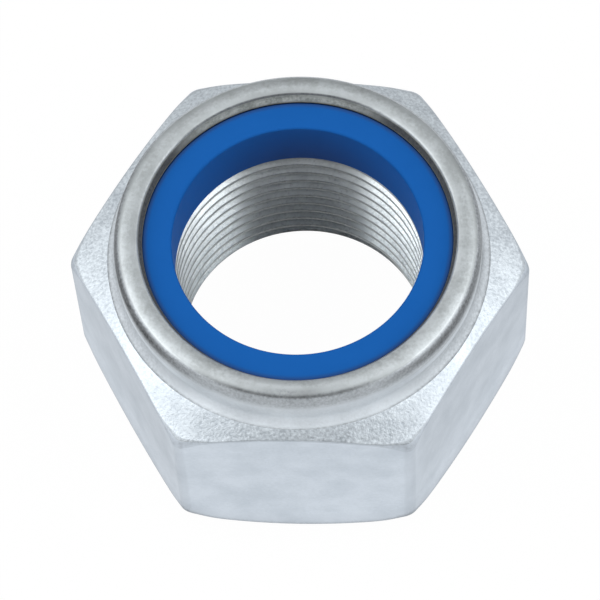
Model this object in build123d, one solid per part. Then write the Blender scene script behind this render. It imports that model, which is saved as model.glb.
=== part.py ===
from build123d import *
from math import cos, radians, tan
import os

# Nylon insert lock nut, M24 x 1.5, 36 mm across flats.
#
# A hexagon nut forged and turned from one piece of steel, whose tall collar is
# rolled inwards over a plain nylon ring.  The ring has no thread of its own:
# the bolt cuts into it and is gripped by it.
#
# Frame: millimetres.  +Z is the thread axis, z = 0 is the bearing face, the
# origin is where the axis meets that face, and one flat faces -Y.
# The bore is drawn at the crests of the thread.

# ---------------------------------------------------------------- thread
thread_diameter = 24.0          # nominal size, the major diameter
thread_pitch = 1.5
lead_in_margin = 0.95           # mouth of the lead-in, outside the major radius
lead_in_depth = 2.65            # from the bearing face to the first full crest

# --------------------------------------------------------------- hexagon
across_flats = 36.0
corner_radius = 1.1             # on the six upright edges
bearing_inset = 0.8             # bearing ring stops this far inside the flats
bottom_chamfer_angle = 33.0     # measured from the bearing face
top_chamfer_angle = 27.4        # slope of the shoulder above the flats

# ---------------------------------------------------------------- collar
overall_height = 24.0
collar_height = 4.6             # rim above the top of a flat, at the flat's middle
recess_margin = 2.65            # recess wall, outside the major radius
collar_wall = 1.7
flare_width = 0.75              # hollow flare where the collar meets the shoulder
flare_radius = 1.35
rim_lean_width = 0.27           # the rolling tool leans the top of the wall inwards
rim_lean_height = 1.35          # and starts this far below the rim
crown_edge_drop = 0.25          # outer edge of the crown, below the rim
crown_edge_radius = 0.45
crown_middle = 1.13             # highest line of the crown, inside its outer edge
lip_overhang = 0.87             # tip of the lip, inside the recess wall
lip_face_width = 0.42           # end face of the lip leans outwards this much
lip_face_height = 1.12
lip_root_drop = 1.1             # the lip turns in this far below its tip

# ---------------------------------------------------------- nylon insert
insert_thickness = 5.4
insert_bite = 0.65              # depth that the bolt's thread cuts into the ring
insert_edge_chamfer = 0.25      # both edges of the bore
rim_rise = 1.35                 # the rim stands this much above the ring
radial_clearance = 0.05         # ring to recess wall
lip_clearance = 0.08            # ring to the underside of the lip

# ------------------------------------------------------- derived geometry
thread_radius = thread_diameter / 2
bore_radius = thread_radius - 0.54127 * thread_pitch    # basic minor diameter
insert_bore_radius = thread_radius - insert_bite

flat_radius = across_flats / 2
recess_radius = thread_radius + recess_margin
collar_radius = recess_radius + collar_wall
crown_edge = (collar_radius - rim_lean_width, overall_height - crown_edge_drop)
crown_top = (crown_edge[0] - crown_middle, overall_height)
insert_radius = recess_radius - radial_clearance
lip_tip_radius = recess_radius - lip_overhang

flat_height = overall_height - collar_height
insert_top = overall_height - rim_rise
seat_height = insert_top - insert_thickness
lip_tip_height = insert_top + lip_clearance
lip_root_height = lip_tip_height - lip_root_drop


def shoulder_height(radius):
    """Height of the sloping shoulder above the flats at a radius."""
    return flat_height + (flat_radius - radius) * tan(radians(top_chamfer_angle))


def steel_section():
    """Half section of the steel nut, before the hexagon is cut."""
    bearing_radius = flat_radius - bearing_inset
    blank_radius = flat_radius / cos(radians(30)) + 1.0    # just clear of the corners
    blank_foot = (blank_radius - bearing_radius) * tan(radians(bottom_chamfer_angle))

    # The flare leaves the upright wall tangentially and lands on the shoulder.
    foot_radius = collar_radius + flare_width
    foot_height = shoulder_height(foot_radius)
    flare_rise = (flare_radius**2 - (flare_radius - flare_width) ** 2) ** 0.5

    with BuildSketch(Plane.XZ) as section:
        with BuildLine():
            # lead-in, bearing face, bottom chamfer, blank and shoulder
            hexagon = Polyline(
                (bore_radius, lead_in_depth),
                (thread_radius + lead_in_margin, 0),
                (bearing_radius, 0),
                (blank_radius, blank_foot),
                (blank_radius, shoulder_height(blank_radius)),
                (foot_radius, foot_height),
            )
            # flare, wall and rolled rim
            flare = RadiusArc(hexagon @ 1, (collar_radius, foot_height + flare_rise), flare_radius)
            wall = Line(flare @ 1, (collar_radius, overall_height - rim_lean_height))
            Line(wall @ 1, crown_edge)
            TangentArc(crown_top, crown_edge, tangent=(1, 0))
            roll = TangentArc(
                crown_top,
                (lip_tip_radius + lip_face_width, lip_tip_height + lip_face_height),
                tangent=(-1, 0),
            )
            # end face and underside of the lip, recess and bore
            Polyline(
                roll @ 1,
                (lip_tip_radius, lip_tip_height),
                (recess_radius, lip_root_height),
                (recess_radius, seat_height),
                (bore_radius, seat_height),
                hexagon @ 0,
            )
        make_face()
        fillet(section.vertices().sort_by_distance(crown_edge)[0], crown_edge_radius)
    return section.sketch


def hexagon_bar():
    """The hexagon that the flats belong to, with rounded upright edges."""
    with BuildPart() as bar:
        with BuildSketch():
            RegularPolygon(flat_radius, 6, major_radius=False)
        extrude(amount=overall_height)
        fillet(bar.edges().filter_by(Axis.Z), corner_radius)
    return bar.part


def nut_body():
    """Steel nut: the turned section, cut to the hexagon."""
    return revolve(steel_section(), Axis.Z) & hexagon_bar()


def nylon_insert():
    """Nylon ring, bevelled at the top where the lip holds it down."""
    bevel_foot = lip_root_height - lip_clearance
    bevel_rise = insert_top - bevel_foot
    bevel_width = bevel_rise * lip_overhang / lip_root_drop    # parallel to the lip
    with BuildSketch(Plane.XZ) as section:
        with BuildLine():
            Polyline(
                (insert_bore_radius, seat_height),
                (insert_radius, seat_height),
                (insert_radius, bevel_foot),
                (insert_radius - bevel_width, insert_top),
                (insert_bore_radius, insert_top),
                close=True,
            )
        make_face()
        chamfer(section.vertices().group_by(Axis.X)[0], insert_edge_chamfer)
    return revolve(section.sketch, Axis.Z)


parts = {
    "nut_body": nut_body(),
    "nylon_insert": nylon_insert(),
}

os.makedirs("parts", exist_ok=True)
for name, solid in parts.items():
    export_step(solid, f"parts/{name}.step")
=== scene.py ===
from math import cos, pi, radians, sin, sqrt, tan
from typing import NamedTuple

import bpy
import numpy as np
from bpy.props import FloatProperty, FloatVectorProperty, IntProperty, PointerProperty
from mathutils import Matrix, Vector


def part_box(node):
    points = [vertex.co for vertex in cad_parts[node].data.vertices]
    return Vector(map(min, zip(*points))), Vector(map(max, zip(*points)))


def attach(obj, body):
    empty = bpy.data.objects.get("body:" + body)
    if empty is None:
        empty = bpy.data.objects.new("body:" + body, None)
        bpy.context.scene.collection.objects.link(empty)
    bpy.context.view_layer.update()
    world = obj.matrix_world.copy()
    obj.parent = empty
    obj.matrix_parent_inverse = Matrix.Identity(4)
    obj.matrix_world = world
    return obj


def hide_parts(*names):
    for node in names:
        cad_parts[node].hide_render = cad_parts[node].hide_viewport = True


bl_info = {
    "name": "Nylon insert lock nut",
    "version": (1, 0, 0),
    "blender": (4, 5, 0),
    "location": "3D View > Sidebar > Lock Nut",
    "description": "Adds a zinc plated lock nut with a nylon insert, and a plain studio for it",
    "category": "Add Mesh",
}

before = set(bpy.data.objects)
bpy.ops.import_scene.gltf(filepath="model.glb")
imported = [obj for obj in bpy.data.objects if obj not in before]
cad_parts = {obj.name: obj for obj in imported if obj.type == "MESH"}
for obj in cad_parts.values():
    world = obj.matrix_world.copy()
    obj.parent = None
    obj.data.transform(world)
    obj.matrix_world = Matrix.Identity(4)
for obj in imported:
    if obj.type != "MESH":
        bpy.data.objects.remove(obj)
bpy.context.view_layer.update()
RING_LOW, RING_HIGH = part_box("nylon_insert")
BODY_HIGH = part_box("nut_body")[1]


def length(description, default):
    """A size in metres, shown in the scene's own length unit."""
    limits = {"min": 0.0, "precision": 5, "unit": "LENGTH"}
    return FloatProperty(description=description, default=default, **limits)


def angle(description, degrees):
    """An angle, given here in degrees and kept in radians."""
    return FloatProperty(description=description, default=radians(degrees), subtype="ANGLE")


def share(description, default, top=1.0):
    """A plain number from nought up."""
    return FloatProperty(description=description, default=default, min=0.0, max=top)


def count(description, default):
    """A number of steps."""
    return IntProperty(description=description, default=default, min=2)


def colour(description, default):
    """A linear colour."""
    limits = {"size": 3, "min": 0.0, "max": 1.0, "subtype": "COLOR"}
    return FloatVectorProperty(description=description, default=default, **limits)


def titled(group):
    """Names each property after its key: flat_height is shown as Flat height."""
    for key, made in group.__annotations__.items():
        made.keywords["name"] = key.replace("_", " ").capitalize()
    return group


# ---- sizes ----


@titled
class HexagonSizes(bpy.types.PropertyGroup):
    """Spanner hexagon, its shoulder and its bearing face."""

    across_flats: length("Width between two opposite flats", 0.036)
    corner_radius: length("Rounding of the six upright edges", 0.0011)
    flat_height: length("Top of a flat at its middle", 0.0194)
    shoulder_angle: angle("Slope of the cone above the flats", 27.4)
    bearing_radius: length("Outer radius of the bearing ring", 0.0172)
    bottom_angle: angle("Slope of the chamfer under the flats", 33.0)
    top_edge: length("Rounding between a flat and the shoulder", 0.00022)
    bottom_edge: length("Rounding between a flat and the bottom chamfer", 0.00045)
    top_corner_edge: length("The top edge's rounding at the corners", 0.0012)
    bottom_corner_edge: length("The bottom edge's rounding at the corners", 0.0022)
    corner_span: length("How far along a flat the corners' roundings fade", 0.0014)
    bearing_edge: length("Rounding round the bearing ring", 0.0004)


@titled
class CollarSizes(bpy.types.PropertyGroup):
    """Turned collar, rolled over the nylon insert."""

    overall_height: length("Top of the rolled rim", BODY_HIGH.z)
    radius: length("Outside of the collar's upright wall", 0.01635)
    flare_width: length("Foot of the flare, outside the wall", 0.00075)
    flare_radius: length("Hollow where the collar meets the shoulder", 0.00135)
    lean_width: length("The rolling tool leans the top of the wall inwards", 0.00027)
    lean_height: length("The lean starts this far below the rim", 0.00135)
    lean_foot_edge: length("Rounding where the wall begins to lean", 0.003)
    edge_drop: length("Outer edge of the crown, below the rim", 0.00025)
    crown_edge: length("Rounding of the crown's outer edge", 0.00045)
    crown_middle: length("Highest line of the crown, inside its outer edge", 0.00113)
    lip_radius: length("Tip of the rolled lip", 0.01378)
    lip_height: length("Height of the lip's tip", 0.0230)
    lip_face_width: length("Lean of the lip's end face", 0.00042)
    lip_face_height: length("Rise of the lip's end face", 0.00085)
    lip_face_edge: length("Rounding between the crown and the lip's end face", 0.00032)
    lip_tip_edge: length("Rounding of the lip's tip", 0.00006)
    lip_root_drop: length("The lip turns in this far below its tip", 0.0011)
    lip_root_edge: length("Rounding between the lip and the recess", 0.00015)
    recess_radius: length("Wall of the insert's recess", 0.01465)
    seat_height: length("Floor of the insert's recess", RING_LOW.z)
    seat_edge: length("Rounding round the recess floor", 0.0002)


@titled
class ThreadSizes(bpy.types.PropertyGroup):
    """Right-hand internal thread with its lead-in."""

    major_radius: length("Roots of the nut's thread", 0.012)
    pitch: length("Rise in one turn", 0.0015)
    lead_in_radius: length("Mouth of the lead-in at the bearing face", 0.01295)
    lead_in_depth: length("Depth of the lead-in at the crests", 0.00265)
    mouth_edge: length("Rounding of the lead-in's mouth", 0.0001)
    start_height: length("Lower edge of a crest at the start angle", 0.000268)
    start_angle: angle("Where the start height is taken, round the axis", 5.2)
    crest_edge: length("Softening of each crest's edges", 0.00002)


@titled
class InsertSizes(bpy.types.PropertyGroup):
    """Plain nylon ring that grips the bolt."""

    radius: length("Outside of the ring", RING_HIGH.x)
    bore_radius: length("Hole through the ring", 0.01118)
    top: length("Top face of the ring", RING_HIGH.z + 0.00025)
    bottom: length("Underside of the ring", RING_LOW.z)
    bevel_width: length("Bevel under the lip, across", 0.00087)
    bevel_height: length("Bevel under the lip, down", 0.0011)
    foot_edge: length("Rounding of the hole's lower edge", 0.00008)
    outer_edge: length("Rounding of the ring's outer edges", 0.0002)
    top_edge: length("Rounding between the top face and the bevel", 0.00025)
    bore_edge: length("Rounding of the hole's upper edge", 0.00025)


@titled
class MeshDetail(bpy.types.PropertyGroup):
    """How finely the surfaces are divided."""

    flat_steps: count("Columns between two corners", 28)
    corner_steps: count("Columns round an upright edge", 8)
    arc_steps: count("Rows round a small rounding of the steel; wider ones have two or three times these", 4)
    curve_steps: count("Rows of the flare and the crown's inner half; its outer half has twice these", 12)
    ring_steps: count("Rows round each of the ring's roundings", 6)


# ---- looks ----


@titled
class PaintedShadeAndWear(bpy.types.PropertyGroup):
    """Painted shade here and there, and the rolling tool's worn band on the rim: nought is clean, one has
    the crease's colour.
    """

    # painted shade under and along the flats' bottom edges, beside the upright edges, on the four side flats
    # and over the two front corners; a darker line along the top edges
    under_edge: share("Under the flats' bottom edges", 0.55)
    bottom_line: share("Along the flats' bottom edges", 0.28)
    upright_edges: share("Along the six upright edges", 0.08)
    side_flats: share("On the upper part of the four side flats", 0.1)
    top_edges: share("Along the flats' top edges", 0.2)
    front_corners: share("On the shoulder above the two front corners", 0.075)
    # a darker line in the flare's foot, and painted shade on the flare and the upright wall at the sides
    flare_foot: share("Line where the flare meets the shoulder", 0.35)
    flare_sides: share("On the flare at the two sides", 0.22)
    wall_sides: share("On the upright wall at the very sides", 0.5)
    # the leaning band, worn by the rolling tool; its darker sides and back are painted shade
    band_front: share("On the leaning band at the front", 0.32)
    band_sides: share("On the leaning band at the two sides", 0.78)
    band_back: share("On the leaning band at the back", 0.38)
    band_side_ease: share("How much less of the band at the very sides", 0.18)
    band_right_ease: share("How much less of the band at the right", 0.08)
    band_start: share("Share of the band at the top of the wall's sides", 0.35)
    band_side_end: length("Radius where the band ends at the sides", 0.01598)
    # painted shade: a dark line and a patch at the crown's front, and the crown's inner side beside and
    # behind
    line: share("Dark line at the front, round the crown's outer edge", 0.5)
    line_radius: length("Radius of the dark line", 0.01576)
    line_width: length("Half the width of the dark line", 0.0002)
    patch: share("Dull patch on the crown at the very front", 0.35)
    patch_radius: length("Middle of the dull patch", 0.01536)
    patch_width: length("Half the width of the dull patch", 0.00032)
    inside: share("On the crown's inner side, beside and behind", 0.2)
    inside_right_ease: share("How much less of it at the crown's right", 0.4)
    # painted shade on the crown over the lip's back part, where the lip's end face has less of it
    scuff_middle: angle("Middle of the lip's scuffed part, round the axis", 100.0)
    scuff: share("On the crown over the lip's scuffed part", 0.2)
    scuff_edge: share("More of the scuff, over the crown's inner edge", 0.55)
    # painted shade on the lip's end face, tip and underside
    lip_face: share("On the lip's end face, beside its scuffed part", 0.9)
    lip_tip: share("On the lip's tip", 0.7)
    lip_root: share("On the underside of the lip", 0.5)
    # painted shade on the thread: at the far side, at the left side, on the lowest turns, and a dark line
    # where the lead-in cuts the crests
    flanks: share("On the thread's flanks at the far side", 0.52)
    crests: share("On the thread's crests at the far side", 0.62)
    thread_left: share("On the thread at the left side", 0.33)
    thread_deep: share("More wear on the lowest turns at the far side", 0.15)
    far_middle: angle("Middle of the far side, round the axis", 91.5)
    thread_foot: share("Line where the lead-in cuts the crests", 0.9)
    foot_height: length("Height of the thread's foot line", 0.00246)
    foot_width: length("How far the foot line reaches, up and down", 0.0002)
    # painted shadow on the ring's top face under the lip's tip, and painted shade on the far wall of the
    # ring's hole
    under_lip: share("On the ring's top face under the lip's tip", 0.42)
    under_lip_radius: length("The shade under the lip is full from here outwards", 0.01362)
    under_lip_width: length("That shade fades out inwards over this much", 0.00032)
    hole_top: share("On the far wall of the ring's hole, at its top", 0.14)
    hole_foot: share("How much more at the foot of the hole's far wall", 0.42)


@titled
class Finishes(bpy.types.PropertyGroup):
    """Colours of the plating and of the nylon."""

    flats: colour("Zinc on the six flats", (0.705, 0.77, 0.845))
    flats_shade: colour("Cloudier zinc on the flats", (0.595, 0.66, 0.73))
    shoulder: colour("Zinc on the grainy shoulder", (0.635, 0.69, 0.735))
    shoulder_shade: colour("Between the shoulder's grains", (0.36, 0.40, 0.44))
    collar: colour("Zinc on the turned collar", (0.765, 0.812, 0.853))
    collar_shade: colour("Darker turned lines on the collar", (0.615, 0.658, 0.695))
    crown: colour("Zinc on top of the rolled rim", (0.535, 0.575, 0.595))
    crown_shade: colour("Darker marks on the crown", (0.40, 0.43, 0.44))
    lip: colour("End face of the rolled lip", (0.53, 0.545, 0.49))
    lip_shade: colour("Scuffs on the lip's end face", (0.30, 0.315, 0.275))
    flank: colour("Cut flanks of the thread", (0.90, 0.955, 0.965))
    flank_shade: colour("Tool marks on the flanks", (0.62, 0.665, 0.675))
    # flanks and lands are one cut zinc; the lands' darker colour is painted shade for the dark line along
    # each crest
    crest: colour("Dull lands of the thread", (0.60, 0.635, 0.64))
    crest_shade: colour("Scuffs on the lands", (0.40, 0.43, 0.44))
    # colour of the painted shade, and of the rolled band's worn plating
    crease: colour("Where the plating is thin and dark", (0.05, 0.052, 0.055))
    nylon: colour("Moulded nylon", (0.0120, 0.118, 0.430))
    nylon_shade: colour("Faint clouding of the nylon", (0.0105, 0.108, 0.402))
    # colour of the painted shade on the nylon
    nylon_crease: colour("Where the nylon is dull and dark", (0.041, 0.037, 0.064))


class Zinc(NamedTuple):
    """How one part of the plating looks, apart from its two colours in Finishes."""

    colour: str  # the lighter one's name; the darker one's ends in _shade
    level: float  # share of the lighter colour
    clouds_per_mm: float
    cloud_amount: float
    grains_per_mm: float
    grain_amount: float
    line_amount: float  # of the lines that turning left
    roughness: float
    rough_spread: float
    relief: float  # height of the grains, in metres
    metallic: float = 1.0


ZINC_FINISHES = {
    "zinc_flats": Zinc("flats", 0.6, 0.32, 2.6, 3.0, 1.4, 0.0, 0.46, 0.2, 0.000012),
    "zinc_shoulder": Zinc("shoulder", 0.6, 0.3, 1.2, 3.6, 2.4, 0.0, 0.46, 0.3, 0.00004),
    "zinc_collar": Zinc("collar", 0.7, 0.35, 1.6, 4.0, 1.2, 0.1, 0.68, 0.2, 0.000015),
    "zinc_crown": Zinc("crown", 0.6, 0.4, 2.4, 3.6, 2.2, 0.1, 0.44, 0.2, 0.00002),
    "zinc_lip_face": Zinc("lip", 0.5, 0.8, 2.5, 4.0, 3.5, 0.6, 0.60, 0.2, 0.00002, 0.3),
    "zinc_thread_flanks": Zinc("flank", 0.6, 0.5, 2.0, 4.0, 3.2, 0.3, 0.48, 0.3, 0.00005),
    "zinc_thread_crests": Zinc("crest", 0.5, 0.5, 1.2, 4.0, 1.4, 0.3, 0.44, 0.3, 0.00002),
}

# bands of the steel body, each with one of those finishes
FLATS, SHOULDER, COLLAR, CROWN, LIP, THREAD, CREST = range(len(ZINC_FINISHES))


@titled
class Studio(bpy.types.PropertyGroup):
    """Camera, lamps and floor."""

    camera_azimuth: angle("Round the nut, from the front flat towards +X", 5.234)
    camera_elevation: angle("Above the floor", 63.9065)
    camera_distance: length("From the aim point", 0.334552)
    camera_roll: angle("Turn of the camera about its own axis", -3.904)
    camera_aim: FloatVectorProperty(
        description="Point in the middle of the view",
        default=(-0.000220, 0.000644, 0.009324),
        precision=6,
        subtype="TRANSLATION",
        unit="LENGTH",
    )
    camera_lens: share("Focal length in millimetres on a 36 mm sensor", 218.364, 500.0)
    floor_reach: length("From the nut to the floor's edges", 1.5)
    lamp_distance: length("From the nut to each soft box", 0.60)
    lamp_size: length("Side of each soft box", 0.46)
    lamp_elevation: angle("Height of the soft boxes", 48.0)
    left_azimuth: angle("Direction of the left soft box", -84.0)
    right_azimuth: angle("Direction of the right soft box", 84.0)
    left_level: share("Brightness of the left soft box, where 1 is white", 2.01, 10.0)
    right_level: share("Brightness of the right soft box", 1.88, 10.0)
    room_level: share("Soft light from all round", 0.65, 2.0)
    card_distance: length("From the nut to each grey card", 0.62)
    card_size: length("Side of each grey card", 0.42)
    camera_grey: share("How light the card behind the camera is", 0.4)
    front_elevation: angle("Height of the card in front of the nut", 27.0)
    front_width: length("Width of that card, which the rim's sides mirror too", 1.1)
    front_grey: share("How light the card in front of the nut is", 0.65)
    back_elevation: angle("Height of the card behind the nut", 36.0)
    back_grey: share("How light the card behind the nut is", 0.3)
    shadow_strength: share("How much of the nut's shadow the floor shows", 0.02)


# ---- surfaces ----

# The columns of a flat start this many times further from a corner than its rounding reaches.
CORNER_MARGIN = 1.25

# Rows just above a flat's bottom edge: share of the flat's height, and the painted shade there.
BOTTOM_FADE = ((0.013, 0.15), (0.032, 0.07), (0.13, 0.0))

# Points closer together than one step of this grid become one.
GRID_STEPS_PER_METRE = 1e8

# Depth of the thread, in pitches.
THREAD_DEPTH = 0.54127

# Form of the thread over one pitch: share of the pitch, share of the depth, and softening.
THREAD_FORM = (
    (0.0, 0.0, 1),
    (0.02, 0.0, 0),
    (0.23, 0.0, 0),
    (0.25, 0.0, 1),
    (0.27, 0.064, 0),
    (0.54, 0.928, 0),
    (0.5625, 1.0, -1),
    (0.585, 1.0, 0),
    (0.665, 1.0, 0),
    (0.6875, 1.0, -1),
    (0.71, 0.872, 0),
    (0.98, 0.064, 0),
    (1.0, 0.0, 1),
)

# Share of the pitch where the crest's land ends, and rows between those of the form.
CREST_END = 0.25
MORE_THREAD_ROWS = (0.125, 0.36, 0.45, 0.84)


def fade(value, start, end):
    """Nought up to start, one from end on, and evenly between them."""
    return np.clip((value - start) / (end - start), 0, 1)


def smooth(done):
    """A share with a soft start and end: three times its square less twice its cube."""
    return done**2 * (3 - 2 * done)


def bell(value, middle, width):
    """One at the middle: e to the power of minus the square of the distance in widths."""
    return np.exp(-(((value - middle) / width) ** 2))


class Around:
    """How far each column is on each side of the nut, from nought to one. The front faces -Y."""

    def __init__(self, turn, scuff_middle):
        across, along = np.cos(turn), np.sin(turn)
        self.right = across  # and minus one at the left
        self.sides = fade(np.abs(across), 0.45, 0.8)
        self.wide_sides = fade(np.abs(across), 0.3, 0.7)
        self.very_sides = fade(np.abs(along), 0.4, 0.0)
        self.back = fade(along, 0.0, 0.8)
        self.beside_and_behind = fade(along, -0.45, 0.0)
        self.forward = np.clip(0.2 - 1.6 * along, -0.35, 1)  # below nought at the back
        self.very_front = np.clip(-along, 0, 1) ** 28
        # the lip's back part: more painted shade on the crown there, and less on the lip's end face
        self.scuffed = fade(np.cos(turn - scuff_middle), 0.7, 0.9)


def flat_end(hexagon):
    """Angle from the middle of a flat to where the corner's rounding begins."""
    apothem = hexagon.across_flats / 2
    return np.arctan((apothem - hexagon.corner_radius) * tan(pi / 6) / apothem)


def from_corner(turn):
    """Angle to the nearest corner of the hexagon."""
    return np.abs((turn + pi / 6) % (pi / 3) - pi / 6)


def hexagon_columns(hexagon, detail):
    """Angles of the columns, once round.

    Each sixth of a turn has closer columns round the upright edge, and evenly
    spaced ones across a flat."""
    half_corner = pi / 6 - flat_end(hexagon)
    round_corner = np.linspace(-half_corner, half_corner, detail.corner_steps + 1)
    margin = half_corner * CORNER_MARGIN
    along_flat = np.linspace(margin, pi / 3 - margin, detail.flat_steps)
    sixth = np.concatenate([round_corner, along_flat])
    turn = (sixth[None, :] + np.arange(6)[:, None] * pi / 3).ravel()
    return np.concatenate([turn, [turn[0] + 2 * pi]])


def hexagon_radius(hexagon, turn):
    """Radius of the rounded hexagon at each angle.

    From the middle of the nearest flat the radius is the apothem over the cosine
    of the angle; within the rounding it is where a ray meets a circle of the
    corner radius, whose centre lies on the corner's own line."""
    apothem, rounding = hexagon.across_flats / 2, hexagon.corner_radius
    off_corner = from_corner(turn)
    off_flat = pi / 6 - off_corner
    centre = (apothem - rounding) / cos(pi / 6)
    reach = np.maximum(rounding**2 - (centre * np.sin(off_corner)) ** 2, 0.0)
    on_arc = centre * np.cos(off_corner) + np.sqrt(reach)
    return np.where(off_flat > flat_end(hexagon), on_arc, apothem / np.cos(off_flat))


def shoulder_height(hexagon, radius):
    """Height of the shoulder: a flat's height, and the way in from it times the slope's tangent."""
    return hexagon.flat_height + (hexagon.across_flats / 2 - radius) * tan(hexagon.shoulder_angle)


def point(radius, height, turn):
    """One row of the section: one radius and height, or arrays of them, at every angle."""
    across, up = np.broadcast_to(radius, turn.shape), np.broadcast_to(height, turn.shape)
    return np.stack([across, up], -1).astype(float)


def between(first, last, steps):
    """Rows on the straight line between two rows, without its ends."""
    return [first + (last - first) * s for s in np.linspace(0, 1, steps + 1)[1:-1]]


def rounded(before, at, after, radius, steps, margin=0.00004):
    """Rows that round a corner of the section with an arc.

    The arc touches both sides at radius times the tangent of half the turn from
    the corner. Its points lie on a circle whose centre is on the corner's inner
    bisector. One more row stands a little outside each end, so that shading
    changes only over the rounding."""
    towards = (at - before) / np.linalg.norm(at - before, axis=-1, keepdims=True)
    away = (after - at) / np.linalg.norm(after - at, axis=-1, keepdims=True)
    cross = towards[:, 0] * away[:, 1] - towards[:, 1] * away[:, 0]
    bend = np.arctan2(cross, (towards * away).sum(-1))
    radius = np.broadcast_to(radius, bend.shape)[:, None]
    touch = radius * np.tan(np.abs(bend) / 2)[:, None]
    inward = np.stack([-towards[:, 1], towards[:, 0]], -1) * np.sign(bend)[:, None]
    centre = at - towards * touch + inward * radius
    rows = [at - towards * (touch + margin)]
    for done in np.linspace(0, 1, steps + 1):
        cosine, sine = np.cos(bend * done), np.sin(bend * done)
        out = inward[:, 1] * sine - inward[:, 0] * cosine
        up = -inward[:, 0] * sine - inward[:, 1] * cosine
        rows.append(centre + np.stack([out, up], -1) * radius)
    rows.append(at + away * (touch + margin))
    return rows


def dome(collar, radii, end, turn):
    """Rows on the arc that is level over the crown's middle and passes through the end.

    The end is a radius and a height. The arc's radius is the squares of the way out
    and of the drop, added, over twice the drop."""
    middle, (end_radius, end_height) = crown_middle(collar), end
    drop = collar.overall_height - end_height
    bow = ((end_radius - middle) ** 2 + drop**2) / (2 * drop)
    foot = collar.overall_height - bow
    return [point(r, foot + sqrt(bow**2 - (r - middle) ** 2), turn) for r in radii]


def crown_corner(collar):
    """Radius and height of the crown's outer corner, before it is rounded."""
    return collar.radius - collar.lean_width, collar.overall_height - collar.edge_drop


def crown_middle(collar):
    """Radius of the crown's highest line: that far inside its outer corner."""
    return crown_corner(collar)[0] - collar.crown_middle


def crest_radius(thread):
    """Radius of the thread's crests."""
    return thread.major_radius - THREAD_DEPTH * thread.pitch


def helix_height(thread, turn):
    """Height of the helix: it rises by one pitch in each turn."""
    return thread.pitch * (turn - thread.start_angle) / (2 * pi) + thread.start_height


def thread_radius(thread, turn, height):
    """Radius of the threaded bore at an angle and a height.

    Take the height above the helix, in pitches, and keep its fraction. The first
    quarter is the crest's land, then the upper flank falls back to the root at 30
    degrees from square, the root is an eighth wide, and the lower flank comes back.
    The lead-in is a cone, and where it is wider it cuts the thread away."""
    crest = crest_radius(thread)
    phases, depths, softened = np.transpose(THREAD_FORM)
    phase = ((height - helix_height(thread, turn)) / thread.pitch) % 1.0
    depth = (thread.major_radius - crest) * depths + thread.crest_edge * softened
    cut = crest + np.interp(phase, phases, depth)
    cone = thread.lead_in_radius - (thread.lead_in_radius - crest) * height / thread.lead_in_depth
    return np.maximum(cut, cone)


class Section:
    """Rows of a closed section, with the band, and the painted shade and worn plating, that begin at each
    row.
    """

    def __init__(self, turn):
        self.turn, self.rows, self.bands, self.wear = turn, [], [], []

    def lay(self, rows, band=0, wear=0.0, next_band=None):
        """Adds rows. The painted shade and worn plating is one value, or one for each row; the last three
        may start the next band.
        """
        self.rows.extend(rows)
        self.bands.extend([band] * len(rows))
        self.wear.extend(wear if np.ndim(wear) else [wear] * len(rows))
        if next_band is not None:
            self.bands[-3:] = [next_band] * 3

    def lay_towards(self, goal, steps, band, wear=0.0):
        """Adds rows on the straight line from the last row towards the goal."""
        self.lay(between(self.rows[-1], goal, steps), band, wear)


def closed_mesh(name, section, materials):
    """Closed mesh of a section carried round the axis.

    Point (row, column) is at the row's radius and height and the column's angle.
    Each cell joins two rows and two columns, and the last row is followed by the
    first. Points at one place become one, cells with two such corners become
    triangles or go, and every edge must then have two faces."""
    radius, height = np.moveaxis(np.stack(section.rows), -1, 0)
    turn, columns = section.turn, len(section.turn)
    places = np.stack([radius * np.cos(turn), radius * np.sin(turn), height], -1).reshape(-1, 3)
    keys = np.round(places * GRID_STEPS_PER_METRE).astype(np.int64)
    _, first, same = np.unique(keys, axis=0, return_index=True, return_inverse=True)
    below = same.reshape(-1, columns)
    above = np.roll(below, -1, axis=0)
    corners = [below[:, :-1], below[:, 1:], above[:, 1:], above[:, :-1]]
    cells = np.stack(corners, -1).reshape(-1, 4)
    band = np.repeat(section.bands, columns - 1)
    repeat = cells == np.roll(cells, -1, axis=1)
    whole, halved = repeat.sum(1) == 0, repeat.sum(1) == 1
    quads, triangles = cells[whole], cells[halved][~repeat[halved]].reshape(-1, 3)
    sides = [np.stack([f, np.roll(f, -1, axis=1)], -1).reshape(-1, 2) for f in (quads, triangles)]
    _, uses = np.unique(np.sort(np.concatenate(sides), axis=1), axis=0, return_counts=True)
    if (uses != 2).any():
        raise RuntimeError(f"{name} isn't closed: {int((uses != 2).sum())} edges have no partner")
    mesh = bpy.data.meshes.new(name)
    mesh.from_pydata(places[first].tolist(), [], quads.tolist() + triangles.tolist())
    mesh.polygons.foreach_set("use_smooth", np.ones(len(mesh.polygons), bool))
    face_band = np.concatenate([band[whole], band[halved]]).astype(np.int32)
    mesh.polygons.foreach_set("material_index", face_band)
    # painted shade, and the rolled band's worn plating, of each point, kept in the crease attribute
    wear = np.stack([np.broadcast_to(value, turn.shape) for value in section.wear])
    crease = wear.astype(np.float32).ravel()[first]
    mesh.attributes.new("crease", "FLOAT", "POINT").data.foreach_set("value", crease)
    for material in materials:
        mesh.materials.append(material)
    mesh.update()
    piece = bpy.data.objects.new(name, mesh)
    bpy.context.scene.collection.objects.link(piece)
    return piece


# ---- materials ----


def feed(tree, node, inputs):
    """Gives inputs of a node, by name or number, a socket to link or a value."""
    for key, value in inputs.items():
        if isinstance(value, bpy.types.NodeSocket):
            tree.links.new(value, node.inputs[key])
        else:
            node.inputs[key].default_value = value


def add(tree, kind, inputs=None, **settings):
    """A shader node with its settings and inputs."""
    made = tree.nodes.new(kind)
    for key, value in settings.items():
        setattr(made, key, value)
    feed(tree, made, inputs or {})
    return made


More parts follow.
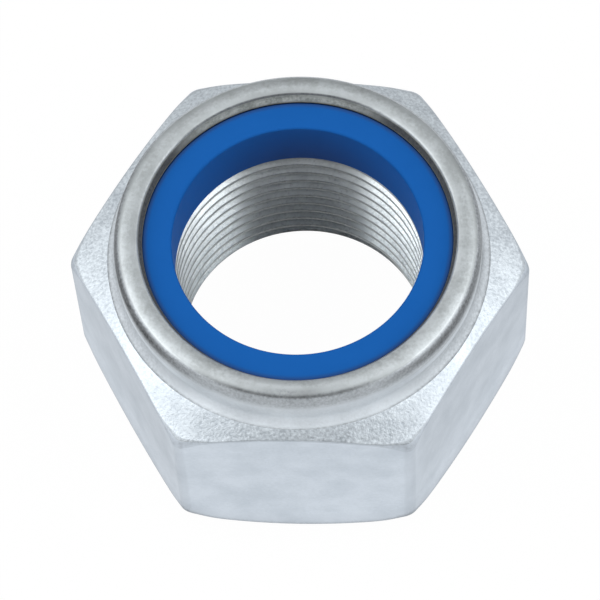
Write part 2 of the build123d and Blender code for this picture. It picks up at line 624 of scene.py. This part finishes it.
def maths(tree, operation, *values, clamp=False):
    """One Math node; the values are sockets or numbers."""
    inputs = dict(enumerate(values))
    return add(tree, "ShaderNodeMath", inputs, operation=operation, use_clamp=clamp).outputs[0]


def about(tree, pattern, amount, middle=0.5, clamp=False):
    """A noise about its middle, times an amount."""
    return maths(tree, "MULTIPLY", maths(tree, "SUBTRACT", pattern, middle), amount, clamp=clamp)


def blend_colour(tree, factor, first, second):
    """One colour Mix node; 6 and 7 are its two colours and 2 is its result."""
    inputs = {"Factor": factor, 6: first, 7: second}
    return add(tree, "ShaderNodeMix", inputs, data_type="RGBA").outputs[2]


def noise(tree, place, scale, detail, roughness):
    """One Noise node's value."""
    inputs = {"Vector": place, "Scale": scale, "Detail": detail, "Roughness": roughness}
    return add(tree, "ShaderNodeTexNoise", inputs).outputs["Fac"]


def grouped(tree, group, inputs):
    """Outputs of one shader group, placed in a tree with its own inputs."""
    return add(tree, "ShaderNodeGroup", inputs, node_tree=group).outputs


VALUE, COLOUR, VECTOR = "NodeSocketFloat", "NodeSocketColor", "NodeSocketVector"


def shader_group(name, inputs, outputs, make):
    """The shader group of this name. The first time, it gets its sockets and make fills it."""
    if name not in bpy.data.node_groups:
        tree = bpy.data.node_groups.new(name, "ShaderNodeTree")
        for socket_name, kind, default in inputs:
            socket = tree.interface.new_socket(socket_name, in_out="INPUT", socket_type=kind)
            if default is not None:
                socket.default_value = default
        for socket_name, kind in outputs:
            tree.interface.new_socket(socket_name, in_out="OUTPUT", socket_type=kind)
        given = tree.nodes.new("NodeGroupInput").outputs
        feed(tree, tree.nodes.new("NodeGroupOutput"), make(tree, given))
    return bpy.data.node_groups[name]


def clouded_grain():
    """Shader group: two colours mixed by broad clouds and fine grains.

    The mix is the level, plus the cloud noise and the grain noise about their middle,
    each times its own amount. Grain alone goes out as well, for bump and roughness."""

    def make(tree, given):
        cloud = noise(tree, given["Millimetres"], given["Clouds per mm"], detail=4.0, roughness=0.55)
        grain = noise(tree, given["Millimetres"], given["Grains per mm"], detail=3.0, roughness=0.6)
        broad = maths(tree, "ADD", given["Level"], about(tree, cloud, given["Cloud amount"]))
        mask = maths(tree, "ADD", broad, about(tree, grain, given["Grain amount"]), clamp=True)
        return {"Colour": blend_colour(tree, mask, given["Shade"], given["Colour"]), "Grain": grain}

    inputs = [
        ("Millimetres", VECTOR, None),
        ("Colour", COLOUR, (0.8, 0.8, 0.8, 1)),
        ("Shade", COLOUR, (0.4, 0.4, 0.4, 1)),
        ("Level", VALUE, 0.6),
        ("Clouds per mm", VALUE, 0.3),
        ("Cloud amount", VALUE, 1.0),
        ("Grains per mm", VALUE, 4.0),
        ("Grain amount", VALUE, 1.0),
    ]
    return shader_group("Clouded grain", inputs, [("Colour", COLOUR), ("Grain", VALUE)], make)


def turned_lines():
    """Shader group: fine lines round the axis, as a lathe leaves them.

    The noise is read finely at radius plus most of the height, and coarsely at the
    place across, so each line fades in and out on its way round."""
    height_share = 0.83

    def make(tree, given):
        x, y, z = add(tree, "ShaderNodeSeparateXYZ", {0: given["Millimetres"]}).outputs
        squares = [maths(tree, "MULTIPLY", side, side) for side in (x, y)]
        radius = maths(tree, "SQRT", maths(tree, "ADD", *squares))
        along = maths(tree, "ADD", radius, maths(tree, "MULTIPLY", z, height_share))
        place = {
            0: maths(tree, "MULTIPLY", x, given["Breaks round"]),
            1: maths(tree, "MULTIPLY", y, given["Breaks round"]),
            2: maths(tree, "MULTIPLY", along, given["Lines per mm"]),
        }
        spot = add(tree, "ShaderNodeCombineXYZ", place).outputs[0]
        return {"Lines": noise(tree, spot, 1.0, detail=2.0, roughness=0.5)}

    inputs = [
        ("Millimetres", VECTOR, None),
        ("Lines per mm", VALUE, 8.0),
        ("Breaks round", VALUE, 0.35),
    ]
    return shader_group("Turned lines", inputs, [("Lines", VALUE)], make)


def darkened_crease():
    """Shader group: turns a colour to the crease's colour by the crease attribute: painted shade, and the
    rolled band's worn plating.

    The mask is that attribute, plus the grain about its middle times the raggedness; the ragged part grows
    in over the first quarter."""

    def make(tree, given):
        grown_in = maths(tree, "MULTIPLY", given["Crease"], 4.0, clamp=True)
        ragged = maths(tree, "MULTIPLY", about(tree, given["Grain"], given["Raggedness"]), grown_in)
        mask = maths(tree, "ADD", given["Crease"], ragged, clamp=True)
        mixed = blend_colour(tree, mask, given["Colour"], given["Crease colour"])
        return {"Colour": mixed, "Mask": mask}

    inputs = [
        ("Colour", COLOUR, (0.8, 0.8, 0.8, 1)),
        ("Crease colour", COLOUR, (0.05, 0.05, 0.05, 1)),
        ("Crease", VALUE, 0.0),
        ("Grain", VALUE, 0.5),
        ("Raggedness", VALUE, 0.6),
    ]
    return shader_group("Darkened crease", inputs, [("Colour", COLOUR), ("Mask", VALUE)], make)


def rgba(value):
    """A colour that covers fully."""
    return (*value, 1.0)


def bare_tree(owner):
    """Node tree of a new material or world, emptied."""
    owner.use_nodes = True
    owner.node_tree.nodes.clear()
    return owner.node_tree


def base_material(name):
    """A material with one Principled shader, and two things that its surface gives.

    These are its own coordinates in millimetres and its crease attribute, which holds painted shade and the
    rolled band's worn plating."""
    material = bpy.data.materials.new(name)
    tree = bare_tree(material)
    shader = tree.nodes.new("ShaderNodeBsdfPrincipled")
    add(tree, "ShaderNodeOutputMaterial", {0: shader.outputs[0]})
    metres = add(tree, "ShaderNodeTexCoord").outputs["Object"]
    scaled = {0: metres, "Scale": 1000.0}
    millimetres = add(tree, "ShaderNodeVectorMath", scaled, operation="SCALE").outputs[0]
    wear = add(tree, "ShaderNodeAttribute", attribute_name="crease").outputs["Fac"]
    return material, tree, shader, millimetres, wear


def zinc(name, finish, look):
    """Zinc plating: clouds and grains in its colour, lines where it was turned, and dark creases: painted
    shade, and the rolled band's worn plating, from the crease attribute.

    The same grains are in its roughness and its relief."""
    line_middle, crease_rough = 0.45, 0.2
    material, tree, shader, millimetres, wear = base_material(name)
    shade = rgba(getattr(look, finish.colour + "_shade"))
    inputs = {
        "Millimetres": millimetres,
        "Colour": rgba(getattr(look, finish.colour)),
        "Shade": shade,
        "Level": finish.level,
        "Clouds per mm": finish.clouds_per_mm,
        "Cloud amount": finish.cloud_amount,
        "Grains per mm": finish.grains_per_mm,
        "Grain amount": finish.grain_amount,
    }
    plain, grain = grouped(tree, clouded_grain(), inputs)
    lines = grouped(tree, turned_lines(), {"Millimetres": millimetres})[0]
    line_mask = about(tree, lines, finish.line_amount, line_middle, clamp=True)
    inputs = {
        "Colour": blend_colour(tree, line_mask, plain, shade),
        "Crease colour": rgba(look.crease),
        "Crease": wear,
        "Grain": grain,
    }
    creased, mask = grouped(tree, darkened_crease(), inputs)
    rough = maths(tree, "ADD", about(tree, grain, finish.rough_spread), finish.roughness)
    height = maths(tree, "ADD", grain, maths(tree, "MULTIPLY", lines, finish.line_amount / 2))
    bump = {"Height": height, "Strength": 1.0, "Distance": finish.relief}
    inputs = {
        "Base Color": creased,
        "Roughness": maths(tree, "ADD", rough, maths(tree, "MULTIPLY", mask, crease_rough), clamp=True),
        "Metallic": finish.metallic,
        "Specular Tint": rgba((0.78, 0.78, 0.78)),
        "Normal": add(tree, "ShaderNodeBump", bump).outputs[0],
    }
    feed(tree, shader, inputs)
    return material


def moulded_nylon(name, look):
    """Blue nylon: nearly even, satin, with faint clouds and fine tool lines."""
    rough_spread, roughness = 0.15, 0.48
    material, tree, shader, millimetres, wear = base_material(name)
    inputs = {
        "Millimetres": millimetres,
        "Colour": rgba(look.nylon),
        "Shade": rgba(look.nylon_shade),
        "Level": 0.6,
        "Clouds per mm": 0.18,
        "Cloud amount": 1.6,
        "Grains per mm": 3.0,
        "Grain amount": 0.5,
    }
    plain, grain = grouped(tree, clouded_grain(), inputs)
    # painted shade and painted shadow from the crease attribute, darkened to the nylon crease colour
    inputs = {"Colour": plain, "Crease colour": rgba(look.nylon_crease), "Crease": wear}
    creased = grouped(tree, darkened_crease(), inputs)[0]
    inputs = {"Millimetres": millimetres, "Lines per mm": 5.0}
    lines = grouped(tree, turned_lines(), inputs)[0]
    bump = {"Height": lines, "Strength": 0.6, "Distance": 0.000004}
    inputs = {
        "Base Color": creased,
        "Roughness": maths(tree, "ADD", about(tree, grain, rough_spread), roughness),
        "Specular IOR Level": 0.008,
        "Normal": add(tree, "ShaderNodeBump", bump).outputs[0],
    }
    feed(tree, shader, inputs)
    return material


# ---- steel body ----


def hexagon_corners(settings, turn):
    """Corners of the section, from the bearing ring over the flats to the flare's foot."""
    hexagon, foot_radius = settings.hexagon, settings.collar.radius + settings.collar.flare_width
    flat = hexagon_radius(hexagon, turn)
    bearing = point(hexagon.bearing_radius, 0.0, turn)
    bottom = point(flat, (flat - hexagon.bearing_radius) * tan(hexagon.bottom_angle), turn)
    top = point(flat, shoulder_height(hexagon, flat), turn)
    foot = point(foot_radius, shoulder_height(hexagon, foot_radius), turn)
    return bearing, bottom, top, foot


def lay_bearing(section, settings):
    """Lays the mouth of the lead-in and the bearing ring."""
    thread, turn, steps = settings.thread, section.turn, settings.detail.arc_steps
    bearing, bottom, _, _ = hexagon_corners(settings, turn)
    throat = point(crest_radius(thread), thread.lead_in_depth, turn)
    mouth = point(thread.lead_in_radius, 0.0, turn)
    section.lay(rounded(throat, mouth, bearing, thread.mouth_edge, 2), COLLAR)
    section.lay_towards(bearing, 3, COLLAR)
    section.lay(rounded(mouth, bearing, bottom, settings.hexagon.bearing_edge, steps), COLLAR)


def lay_flats(section, settings):
    """Lays the flats, whose bottom and top edges are rounder at the corners; painted shade lies under and
    along their bottom edges, beside the upright edges and on the four side flats, and a darker line runs
    along their top edges.
    """
    hexagon, wear, steps = settings.hexagon, settings.wear, settings.detail.arc_steps
    turn, off_corner = section.turn, from_corner(section.turn)
    bearing, bottom, top, foot = hexagon_corners(settings, turn)
    near_corner = bell(off_corner * hexagon.across_flats / 2, 0.0, hexagon.corner_span)
    bottom_edge = hexagon.bottom_edge + (hexagon.bottom_corner_edge - hexagon.bottom_edge) * near_corner
    top_edge = hexagon.top_edge + (hexagon.top_corner_edge - hexagon.top_edge) * near_corner
    in_rounding = fade(off_corner / (pi / 6 - flat_end(hexagon)), CORNER_MARGIN, 0.85)
    # painted shade beside the upright edges and on the upper part of the four side flats
    upright = wear.upright_edges * in_rounding
    side = wear.side_flats * fade(np.abs(np.cos(turn)), 0.5, 0.6)
    bottom_rows = rounded(bearing, bottom, top, bottom_edge, steps)
    # painted shade under the bottom edge and along it, fading up the flat
    under = np.linspace(wear.under_edge, wear.bottom_line, len(bottom_rows))[:, None]
    section.lay(bottom_rows, FLATS, under + upright)
    low, shaded = np.transpose(BOTTOM_FADE)
    low_rows = [section.rows[-1] + (top - section.rows[-1]) * done for done in low]
    section.lay(low_rows, FLATS, shaded[:, None] + upright)
    section.lay_towards(top, 4, FLATS, [upright + side * done for done in (0.55, 1, 1)])
    top_rows = rounded(bottom, top, foot, top_edge, steps)
    over = np.linspace(0.0, 1.0, len(top_rows))[:, None]
    # a darker line along the top edge, and the painted shade from below
    edge_darkening = wear.top_edges * np.sin(pi * over) + (upright + side) * (1 - over)
    section.lay(top_rows, FLATS, edge_darkening, next_band=SHOULDER)


def lay_shoulder(section, settings):
    """Lays the shoulder, with painted shade above the two front corners, and its last row close to the
    flare.
    """
    turn, foot = section.turn, hexagon_corners(settings, section.turn)[3]
    corner_width, last_share = 0.25, 0.95
    at_front = fade(-np.sin(turn), 0.0, 0.5)
    shaded = settings.wear.front_corners * bell(from_corner(turn), 0.0, corner_width) * at_front
    section.lay_towards(foot, 5, SHOULDER, [shaded] * 4)
    section.lay([section.rows[-1] + (foot - section.rows[-1]) * last_share], SHOULDER)


def lay_flare(section, settings, around):
    """Lays the flare: an arc that leaves the shoulder and ends upright on the wall."""
    collar, wear, radius = settings.collar, settings.wear, settings.collar.flare_radius
    foot_share = 0.08
    start = np.arccos(1 - collar.flare_width / radius)
    foot_height = shoulder_height(settings.hexagon, collar.radius + collar.flare_width)
    wall_foot = foot_height + radius * sin(start)
    rows = [
        point(collar.radius + radius * (1 - cos(bend)), wall_foot - radius * sin(bend), section.turn)
        for bend in np.linspace(start, 0.0, settings.detail.curve_steps + 1)
    ]
    # a darker line in the flare's foot, painted shade on the flare at the sides, and painted shade rising to
    # the wall at the very sides
    climb = np.linspace(0.0, 1.0, len(rows))[:, None]
    at_foot = wear.flare_foot * bell(climb, 0.0, foot_share)
    at_sides = wear.flare_sides * around.sides * (1 - around.back / 2)
    at_wall = wear.wall_sides * around.very_sides * climb**3
    section.lay(rows, COLLAR, at_foot + at_sides + at_wall)


def rolled_band(wear, around):
    """Worn plating and painted shade of the band that the rolling tool went over: the front's, eased into
    the sides' and the back's. The darker sides and back are painted shade.
    """
    ease = wear.band_side_ease * around.very_sides + wear.band_right_ease * around.right
    band = wear.band_front + (wear.band_sides * (1 - ease) - wear.band_front) * around.sides
    return band * (1 - around.back) + wear.band_back * around.back


def lay_wall(section, settings, around):
    """Lays the upright wall, and the band that leans inwards from it."""
    collar, wear, turn = settings.collar, settings.wear, section.turn
    below_lean, steps = 0.0006, settings.detail.arc_steps * 2
    band = rolled_band(wear, around)
    start = wear.band_start * around.sides * (1 - around.back)
    lean_foot = point(collar.radius, collar.overall_height - collar.lean_height, turn)
    wall_top = lean_foot - [0, below_lean]
    # painted shade on the wall at the very sides; the band's worn plating and painted shade grow in over the
    # lean's rounding
    section.lay_towards(wall_top, 4, COLLAR, [wear.wall_sides * around.very_sides] * 3)
    section.lay([wall_top], COLLAR, [band * start])
    corner = point(*crown_corner(collar), turn)
    rows = rounded(wall_top, lean_foot, corner, collar.lean_foot_edge, steps)
    rise = smooth(np.linspace(0.0, 1.0, len(rows)))[:, None]
    section.lay(rows, COLLAR, (start + (1 - start) * rise) * band)


def lay_crown(section, settings, around):
    """Lays the crown's outer edge and its outer half, where the band's worn plating and painted shade end in
    a painted dark line, with a patch of painted shade at the very front.
    """
    collar, wear, detail = settings.collar, settings.wear, settings.detail
    turn, corner = section.turn, crown_corner(collar)
    inside_corner, row_gap, darkest = 0.0004, 0.00003, 0.9
    band = rolled_band(wear, around)
    beyond = dome(collar, [corner[0] - inside_corner], corner, turn)[0]
    steps = detail.arc_steps * 3
    edge_rows = rounded(section.rows[-1], point(*corner, turn), beyond, collar.crown_edge, steps)
    section.lay_towards(edge_rows[0], 3, COLLAR, [band] * 2)
    radii = np.linspace(edge_rows[-1][0, 0] - row_gap, crown_middle(collar), detail.curve_steps * 2)
    outer = dome(collar, radii, corner, turn)
    reach = np.array([row[0, 0] for row in edge_rows + outer])[:, None]
    side_shift = (wear.band_side_end - wear.line_radius) * around.wide_sides * around.forward
    end = wear.line_radius + side_shift
    softness = wear.line_width * (1 + around.wide_sides + 2 * around.back) / 2
    # the band's worn plating and painted shade fade out towards the crown's middle; a painted dark line and
    # a patch of painted shade at the front
    worn_and_shaded = band * fade(reach, end - softness, end + softness)
    line = wear.line * bell(reach, wear.line_radius, wear.line_width)
    line = line * (1 - around.wide_sides) * (1 - around.back)
    patch = wear.patch * bell(reach, wear.patch_radius, wear.patch_width) * around.very_front
    crown_shade_and_wear = np.clip(worn_and_shaded + line + patch, 0.0, darkest)
    section.lay(edge_rows, COLLAR, crown_shade_and_wear[: len(edge_rows)], next_band=CROWN)
    section.lay(outer, CROWN, crown_shade_and_wear[len(edge_rows) :])


def lay_lip(section, settings, around):
    """Lays the crown's inner half, the lip's face, tip and underside, and the recess."""
    collar, wear, detail = settings.collar, settings.wear, settings.detail
    turn, scuffed = section.turn, around.scuffed
    close_margin, before_face = 0.00002, 0.0002
    face_radius = collar.lip_radius + collar.lip_face_width
    face_height = collar.lip_height + collar.lip_face_height
    face_top = point(face_radius, face_height, turn)
    lip_tip = point(collar.lip_radius, collar.lip_height, turn)
    lip_root = point(collar.recess_radius, collar.lip_height - collar.lip_root_drop, turn)
    recess_floor = point(collar.recess_radius, collar.seat_height, turn)
    bore_radius = thread_radius(settings.thread, turn, collar.seat_height)
    seat_edge = point(bore_radius, collar.seat_height, turn)

    # inner half of the crown, with painted shade beside and behind, and more over the lip's back part
    inside = wear.inside * around.beside_and_behind * (1 - wear.inside_right_ease * around.right)
    inside = inside * (1 - scuffed)
    radii = np.linspace(crown_middle(collar), face_radius + before_face, detail.curve_steps)[1:]
    inner = dome(collar, radii, (face_radius, face_height), turn)
    inward = np.linspace(0.0, 1.0, len(inner))[:, None]
    section.lay(inner, CROWN, inward * (wear.scuff * scuffed + inside))
    steps = detail.arc_steps * 2
    turn_in = rounded(inner[-1], face_top, lip_tip, collar.lip_face_edge, steps, close_margin)
    over_edge = np.sin(np.linspace(0, pi, len(turn_in)))[:, None]
    edge_darkening = inside + scuffed * (wear.scuff + wear.scuff_edge * over_edge)
    section.lay(turn_in, CROWN, edge_darkening, next_band=LIP)

    # end face of the lip, with painted shade, less of it over its back part, and its tip and underside, also
    # with painted shade
    less_shade_at_back = (0.7, 0.9, 0.9, 0.9, 0.65)
    section.lay_towards(lip_tip, 6, LIP, [wear.lip_face - off * scuffed for off in less_shade_at_back])
    tip_rows = rounded(section.rows[-1], lip_tip, lip_root, collar.lip_tip_edge, 3, close_margin)
    section.lay(tip_rows, LIP, wear.lip_tip)
    root_rows = rounded(lip_tip, lip_root, recess_floor, collar.lip_root_edge, 3)
    section.lay(root_rows, LIP, wear.lip_root)

    # recess
    section.lay(rounded(lip_root, recess_floor, seat_edge, collar.seat_edge, 3), COLLAR)
    section.lay_towards(seat_edge, 2, COLLAR)


def lay_thread(section, settings):
    """Lays the thread, row by row down its helix, and the lead-in."""
    thread, wear, turn = settings.thread, settings.wear, section.turn
    high = settings.collar.seat_height

    # the lead-in leaves no thread below this height
    wider = (thread.lead_in_radius - thread.major_radius) / (thread.lead_in_radius - crest_radius(thread))
    low = wider * thread.lead_in_depth
    helix = helix_height(thread, turn)
    first_turn = np.floor((low - helix.max()) / thread.pitch) - 1
    last_turn = np.ceil((high - helix.min()) / thread.pitch) + 1
    phases = np.sort([phase for phase, _, _ in THREAD_FORM[:-1]] + list(MORE_THREAD_ROWS))
    phases = phases[::-1]

    # painted shade at the far side, narrower on the flanks than on the crests; more painted shade on the
    # left side and on the lowest turns
    far = np.clip(np.cos(turn - wear.far_middle), 0, 1)
    far_flank, far_crest = smooth(fade(far, 0.78, 0.95)), far**3
    left = wear.thread_left * np.clip(-np.cos(turn), 0, 1) ** 6
    for turn_number in np.arange(last_turn, first_turn - 1, -1):
        for phase in phases:
            height = np.clip((turn_number + phase) * thread.pitch + helix, low, high)
            on_crest = 0 < phase <= CREST_END
            shaded = wear.crests * far_crest if on_crest else wear.flanks * far_flank
            shaded = shaded + left + wear.thread_deep * far_flank * (1 - height / high)
            # painted shade: a dark line where the lead-in cuts the crests
            off_foot = np.abs(height - wear.foot_height) / wear.foot_width
            foot_line = wear.thread_foot * fade(off_foot, 1.6, 0.6) * (0.5 + 0.5 * far_crest)
            row = point(thread_radius(thread, turn, height), height, turn)
            section.lay([row], CREST if on_crest else THREAD, [np.maximum(shaded, foot_line)])
    mouth = point(thread.lead_in_radius, 0.0, turn)
    # the lead-in gets the crests' painted shade at the far side
    section.lay_towards(mouth, 4, THREAD, [wear.crests * far_crest] * 3)


class LOCKNUT_OT_add_steel_body(bpy.types.Operator):
    """Adds the zinc plated steel nut: hexagon, collar, rolled lip, recess and thread"""

    bl_idname = "lock_nut.add_steel_body"
    bl_label = "Steel Body"
    bl_options = {"REGISTER", "UNDO"}

    def execute(self, context):
        settings = context.scene.lock_nut
        section = Section(hexagon_columns(settings.hexagon, settings.detail))
        around = Around(section.turn, settings.wear.scuff_middle)
        lay_bearing(section, settings)
        lay_flats(section, settings)
        lay_shoulder(section, settings)
        lay_flare(section, settings, around)
        lay_wall(section, settings, around)
        lay_crown(section, settings, around)
        lay_lip(section, settings, around)
        lay_thread(section, settings)
        materials = [zinc(name, finish, settings.finishes) for name, finish in ZINC_FINISHES.items()]
        piece = closed_mesh("zinc_plated_body", section, materials)
        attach(piece, "root")
        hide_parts("nut_body")
        return {"FINISHED"}


# ---- nylon insert ----


def ring_painted_shade(ring, wear, turn, radius, height):
    """Painted shade of one row of the ring.

    The far wall of the hole has painted shade that grows towards its foot, and the top face has painted
    shadow under the lip's tip."""
    on_wall = 0.00002
    depth = (ring.top - height) / (ring.top - ring.bottom)
    in_hole = radius < ring.bore_radius + on_wall
    far_side = np.clip(np.sin(turn), 0, 1) ** 4
    under_lip = fade(radius, wear.under_lip_radius - wear.under_lip_width, wear.under_lip_radius)
    return in_hole * far_side * (wear.hole_top + wear.hole_foot * depth) + wear.under_lip * under_lip


class LOCKNUT_OT_add_nylon_insert(bpy.types.Operator):
    """Adds the blue nylon ring that the rolled lip holds down"""

    bl_idname = "lock_nut.add_nylon_insert"
    bl_label = "Nylon Insert"
    bl_options = {"REGISTER", "UNDO"}

    def execute(self, context):
        settings = context.scene.lock_nut
        ring, detail = settings.insert, settings.detail
        turn = np.linspace(0, 2 * pi, 6 * (detail.flat_steps + detail.corner_steps) + 1)
        evenly = (0.25, 0.5, 0.75)
        close_to_lip = (0.02, 0.04, 0.06, 0.09, 0.13, 0.17, 0.22, 0.5)

        # corners of the section: radius, height, rounding, and where the rows after it stand
        outline = (
            (ring.bore_radius, ring.bottom, ring.foot_edge, evenly),
            (ring.radius, ring.bottom, ring.outer_edge, evenly),
            (ring.radius, ring.top - ring.bevel_height, ring.outer_edge, evenly),
            (ring.radius - ring.bevel_width, ring.top, ring.top_edge, close_to_lip),
            (ring.bore_radius, ring.top, ring.bore_edge, evenly),
        )
        corners = [point(radius, height, turn) for radius, height, _, _ in outline]
        section = Section(turn)
        for number, (_, _, rounding, shares) in enumerate(outline):
            after = corners[(number + 1) % len(corners)]
            rows = rounded(corners[number - 1], corners[number], after, rounding, detail.ring_steps)
            rows += [rows[-1] + (after - rows[-1]) * done for done in shares]
            section.lay(rows, wear=[ring_painted_shade(ring, settings.wear, turn, *row[0]) for row in rows])
        material = moulded_nylon("blue_nylon", settings.finishes)
        piece = closed_mesh("nylon_locking_ring", section, [material])
        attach(piece, "root")
        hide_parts("nylon_insert")
        return {"FINISHED"}


# ---- studio ----


def direction(azimuth, elevation):
    """Unit vector towards an azimuth from the front, turning to +X, and an elevation."""
    level = cos(elevation)
    return Vector((sin(azimuth) * level, -cos(azimuth) * level, sin(elevation)))


def placed(place, aim):
    """A matrix that puts an object at a place, with its -Z to the aim and its top upwards."""
    turned = (aim - place).to_track_quat("-Z", "Y").to_matrix().to_4x4()
    return Matrix.Translation(place) @ turned


def seen_as_background(tree):
    """One for rays that show the background: from the camera, off gloss and through glass."""
    path = tree.nodes.new("ShaderNodeLightPath").outputs
    seen = maths(tree, "MAXIMUM", path["Is Camera Ray"], path["Is Glossy Ray"])
    return maths(tree, "MAXIMUM", seen, path["Is Transmission Ray"])


def sheet(name, matrix, width, depth, material):
    """A flat sheet of this width and depth, whose middle and tilt the matrix gives."""
    x, y = width / 2, depth / 2
    corners = [tuple(matrix @ Vector(c)) for c in ((-x, -y, 0), (x, -y, 0), (x, y, 0), (-x, y, 0))]
    mesh = bpy.data.meshes.new(name)
    mesh.from_pydata(corners, [], [(0, 1, 2, 3)])
    mesh.materials.append(material)
    made = bpy.data.objects.new(name, mesh)
    bpy.context.scene.collection.objects.link(made)
    return made


def white_floor(studio):
    """Floor that is white to the camera, with a share of the nut's own shadow."""
    material = bpy.data.materials.new("white_floor")
    tree = bare_tree(material)
    paper = add(tree, "ShaderNodeBsdfDiffuse", {"Color": (1, 1, 1, 1)}).outputs[0]
    glow = add(tree, "ShaderNodeEmission", {"Color": (1, 1, 1, 1), "Strength": 1.0}).outputs[0]
    factor = maths(tree, "MULTIPLY", seen_as_background(tree), 1 - studio.shadow_strength)
    both = add(tree, "ShaderNodeMixShader", {0: factor, 1: paper, 2: glow}).outputs[0]
    add(tree, "ShaderNodeOutputMaterial", {0: both})
    size = 2 * studio.floor_reach
    return sheet("floor", Matrix.Identity(4), size, size, material)


def grey_cards(studio, middle):
    """Grey cards that the steel mirrors: by the camera, low in front and low behind the nut."""
    by_camera = direction(studio.camera_azimuth, studio.camera_elevation)
    in_front, behind = direction(0.0, studio.front_elevation), direction(pi, studio.back_elevation)
    places = (
        ("camera_card", by_camera, studio.card_size, studio.camera_grey),
        ("front_card", in_front, studio.front_width, studio.front_grey),
        ("back_card", behind, studio.card_size, studio.back_grey),
    )
    cards = []
    for name, way, width, grey in places:
        material = bpy.data.materials.new(name)
        material.use_nodes = True
        paper = {"Base Color": (grey, grey, grey, 1), "Roughness": 0.9}
        feed(material.node_tree, material.node_tree.nodes["Principled BSDF"], paper)
        matrix = placed(middle + way * studio.card_distance, middle)
        cards.append(sheet(name, matrix, width, studio.card_size, material))
    return cards


def soft_boxes(studio, middle):
    """Two square lamps; the power of each is its level times pi times its own area."""
    lamps = (
        ("left_soft_box", studio.left_azimuth, studio.left_level),
        ("right_soft_box", studio.right_azimuth, studio.right_level),
    )
    for name, azimuth, level in lamps:
        lamp = bpy.data.lights.new(name, "AREA")
        lamp.shape, lamp.size = "SQUARE", studio.lamp_size
        lamp.energy = level * pi * studio.lamp_size**2
        holder = bpy.data.objects.new(name, lamp)
        bpy.context.scene.collection.objects.link(holder)
        place = middle + direction(azimuth, studio.lamp_elevation) * studio.lamp_distance
        holder.matrix_world = placed(place, middle)


def white_room(studio):
    """A world that lights evenly at the room's level and is white where the background shows."""
    world = bpy.data.worlds.new("white_room")
    tree = bare_tree(world)
    extra = maths(tree, "MULTIPLY", seen_as_background(tree), 1.0 - studio.room_level)
    level = maths(tree, "ADD", extra, studio.room_level)
    light = add(tree, "ShaderNodeBackground", {"Color": (1, 1, 1, 1), "Strength": level})
    add(tree, "ShaderNodeOutputWorld", {0: light.outputs[0]})
    return world


def studio_camera(studio):
    """The camera: at its distance from the aim point, turned by its roll."""
    lens = bpy.data.cameras.new("camera")
    lens.sensor_width, lens.lens = 36.0, studio.camera_lens
    lens.clip_start, lens.clip_end = 0.01, 10.0
    camera = bpy.data.objects.new("camera", lens)
    bpy.context.scene.collection.objects.link(camera)
    aim = Vector(studio.camera_aim)
    toward = direction(studio.camera_azimuth, studio.camera_elevation)
    roll = Matrix.Rotation(studio.camera_roll, 4, "Z")
    camera.matrix_world = placed(aim + toward * studio.camera_distance, aim) @ roll
    return camera


class LOCKNUT_OT_add_studio(bpy.types.Operator):
    """Adds the white floor, the grey cards, the soft boxes, the room's light and the camera"""

    bl_idname = "lock_nut.add_studio"
    bl_label = "Studio"
    bl_options = {"REGISTER", "UNDO"}

    def execute(self, context):
        scene, studio = context.scene, context.scene.lock_nut.studio
        middle = Vector((0.0, 0.0, scene.lock_nut.collar.overall_height / 2))
        floor = white_floor(studio)
        cards = grey_cards(studio, middle)
        soft_boxes(studio, middle)
        scene.world = white_room(studio)
        scene.camera = studio_camera(studio)
        scene.view_settings.view_transform = "Standard"
        return {"FINISHED"}


# ---- add-on ----


class LOCKNUT_PT_panel(bpy.types.Panel):
    """Lists what the add-on makes, with its sizes and finishes"""

    bl_idname = "LOCKNUT_PT_panel"
    bl_label = "Nylon Insert Lock Nut"
    bl_space_type = "VIEW_3D"
    bl_region_type = "UI"
    bl_category = "Lock Nut"

    def draw(self, context):
        for operator in OPERATORS:
            self.layout.operator(operator.bl_idname)
        for title in LockNutSettings.__annotations__:
            box = self.layout.box()
            box.label(text=title.capitalize())
            group = getattr(context.scene.lock_nut, title)
            for key in group.__annotations__:
                box.prop(group, key)


class LockNutSettings(bpy.types.PropertyGroup):
    """Everything that a user may change."""

    hexagon: PointerProperty(type=HexagonSizes)
    collar: PointerProperty(type=CollarSizes)
    thread: PointerProperty(type=ThreadSizes)
    insert: PointerProperty(type=InsertSizes)
    detail: PointerProperty(type=MeshDetail)
    wear: PointerProperty(type=PaintedShadeAndWear)
    finishes: PointerProperty(type=Finishes)
    studio: PointerProperty(type=Studio)


GROUPS = (HexagonSizes, CollarSizes, ThreadSizes, InsertSizes, MeshDetail, PaintedShadeAndWear, Finishes, Studio)
OPERATORS = (LOCKNUT_OT_add_steel_body, LOCKNUT_OT_add_nylon_insert, LOCKNUT_OT_add_studio)
CLASSES = (*GROUPS, LockNutSettings, *OPERATORS, LOCKNUT_PT_panel)


def register():
    """Registers the classes and gives the scene its settings."""
    for cls in CLASSES:
        bpy.utils.register_class(cls)
    bpy.types.Scene.lock_nut = PointerProperty(type=LockNutSettings)


def unregister():
    """Takes away what register gave."""
    del bpy.types.Scene.lock_nut
    for cls in reversed(CLASSES):
        bpy.utils.unregister_class(cls)


def main():
    """Registers the add-on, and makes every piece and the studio."""
    register()
    bpy.ops.lock_nut.add_steel_body()
    bpy.ops.lock_nut.add_nylon_insert()
    bpy.ops.lock_nut.add_studio()


if __name__ == "__main__":
    main()
